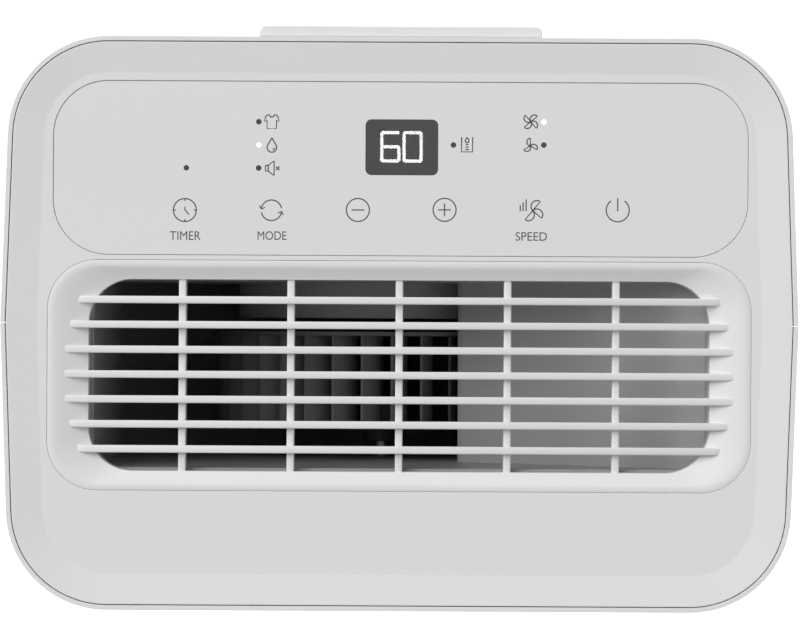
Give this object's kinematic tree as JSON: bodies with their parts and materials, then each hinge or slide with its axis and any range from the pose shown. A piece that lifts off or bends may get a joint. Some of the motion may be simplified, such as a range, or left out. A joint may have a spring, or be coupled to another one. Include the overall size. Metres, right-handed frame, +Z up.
{
  "type": "dehumidifier",
  "caption": "Upright rounded-corner portable dehumidifier with a top air outlet grille, touch control panel with digits, front water tank, rear intake grille, rear carry handle and castors.",
  "frame": {"origin": "centre of the bounding box, on the floor under the castors", "axes": "+Z up, -Y towards the front where the tank slides out, +X to the right of a person facing the front"},
  "size_m": [0.34, 0.2496, 0.5],
  "materials": {
    "casing": "fine matte",
    "cover": "fine matte",
    "panel": "smooth satin film",
    "lens": "smoked, glossy",
    "dark": "matte black",
    "glow": "lit diffuser",
    "guide": "clear rod, smoked",
    "pcb": "solder resist",
    "spring": "bright wire",
    "inner": "moulded black",
    "grey": "moulded grey",
    "tank": "frosted translucent",
    "clear": "clear",
    "white": "moulded white",
    "foam": "closed-cell foam",
    "steel": "ground",
    "zinc": "zinc plated",
    "enamel": "black enamel",
    "core": "laminated",
    "copper": "drawn copper",
    "fins": "rolled",
    "rubber": "moulded",
    "tread": "moulded tread",
    "mesh": "woven nylon"
  },
  "bodies": {
    "cabinet": {"base_pan": "grey", "front_casing": "casing", "rear_casing": "casing", "top_cover": "cover", "outlet_grille": "cover", "control_panel": "panel", "display_window": "lens", "digit_display": "dark", "lit_segments": "glow", "display_board": "pcb", "touch_springs": "spring", "light_guides": "guide", "bay_partition": "grey", "drain_tray": "white", "scroll_front": "inner", "scroll_rear": "inner", "fan_motor": "zinc", "coil_frame": "zinc", "evaporator_fins": "fins", "evaporator_tube": "copper", "condenser_fins": "fins", "condenser_tube": "copper", "compressor_shell": "enamel", "compressor_stator": "core", "compressor_pump": "core", "compressor_grommets": "rubber", "accumulator": "enamel", "suction_pipe": "copper", "discharge_pipe": "copper", "capillary_tube": "copper", "filter_drier": "copper", "control_box": "grey", "main_board": "pcb", "drain_spigot": "white", "cord_gland": "rubber", "humidity_sensor": "white", "tank_sensor": "dark", "casing_screws": "zinc"},
    "handle": {"carry_handle": "casing"},
    "intake": {"intake_grille": "casing", "filter_frame": "white", "filter_mesh": "mesh"},
    "water_tank": {"tank": "tank", "tank_front": "casing", "level_window": "clear", "tank_lid": "white"},
    "float": {"float_arm": "foam", "float_magnet": "core"},
    "blower": {"blower_wheel": "inner", "fan_shaft": "steel"},
    "rotor": {"compressor_rotor": "steel"},
    "plug": {"drain_plug": "rubber"},
    "castor_fl": {"castor_body_fl": "dark"},
    "wheels_fl": {"castor_wheels_fl": "tread"},
    "castor_fr": {"castor_body_fr": "dark"},
    "wheels_fr": {"castor_wheels_fr": "tread"},
    "castor_rl": {"castor_body_rl": "dark"},
    "wheels_rl": {"castor_wheels_rl": "tread"},
    "castor_rr": {"castor_body_rr": "dark"},
    "wheels_rr": {"castor_wheels_rr": "tread"}
  },
  "joints": [
    {"name": "handle_hinge", "type": "hinge", "parent": "cabinet", "child": "handle", "pos_m": [0, 0.1135, 0.438], "axis": [-1, 0, 0], "range_deg": [0, 90]},
    {"name": "intake_hinge", "type": "hinge", "parent": "cabinet", "child": "intake", "pos_m": [0, 0.1155, 0.24], "axis": [-1, 0, 0], "range_deg": [0, 30]},
    {"name": "tank_slide", "type": "slide", "parent": "cabinet", "child": "water_tank", "axis": [0, -1, 0], "range_m": [0, 0.15]},
    {"name": "float_hinge", "type": "hinge", "parent": "water_tank", "child": "float", "pos_m": [0.0855, -0.021, 0.196], "axis": [-1, 0, 0], "range_deg": [0, 12]},
    {"name": "blower_spin", "type": "hinge", "parent": "cabinet", "child": "blower", "pos_m": [-0.008, -0.03, 0.335], "axis": [0, 1, 0], "continuous": true},
    {"name": "rotor_spin", "type": "hinge", "parent": "cabinet", "child": "rotor", "pos_m": [0.088, 0.057, 0.16], "axis": [0, 0, 1], "continuous": true},
    {"name": "plug_slide", "type": "slide", "parent": "cabinet", "child": "plug", "axis": [0, 1, 0], "range_m": [0, 0.03]},
    {"name": "swivel_fl", "type": "hinge", "parent": "cabinet", "child": "castor_fl", "pos_m": [-0.134, -0.085, 0.035], "axis": [0, 0, 1], "continuous": true},
    {"name": "roll_fl", "type": "hinge", "parent": "castor_fl", "child": "wheels_fl", "pos_m": [-0.134, -0.076, 0.011], "axis": [1, 0, 0], "continuous": true},
    {"name": "swivel_fr", "type": "hinge", "parent": "cabinet", "child": "castor_fr", "pos_m": [0.134, -0.085, 0.035], "axis": [0, 0, 1], "continuous": true},
    {"name": "roll_fr", "type": "hinge", "parent": "castor_fr", "child": "wheels_fr", "pos_m": [0.134, -0.076, 0.011], "axis": [1, 0, 0], "continuous": true},
    {"name": "swivel_rl", "type": "hinge", "parent": "cabinet", "child": "castor_rl", "pos_m": [-0.134, 0.085, 0.035], "axis": [0, 0, 1], "continuous": true},
    {"name": "roll_rl", "type": "hinge", "parent": "castor_rl", "child": "wheels_rl", "pos_m": [-0.134, 0.094, 0.011], "axis": [1, 0, 0], "continuous": true},
    {"name": "swivel_rr", "type": "hinge", "parent": "cabinet", "child": "castor_rr", "pos_m": [0.134, 0.085, 0.035], "axis": [0, 0, 1], "continuous": true},
    {"name": "roll_rr", "type": "hinge", "parent": "castor_rr", "child": "wheels_rr", "pos_m": [0.134, 0.094, 0.011], "axis": [1, 0, 0], "continuous": true}
  ]
}
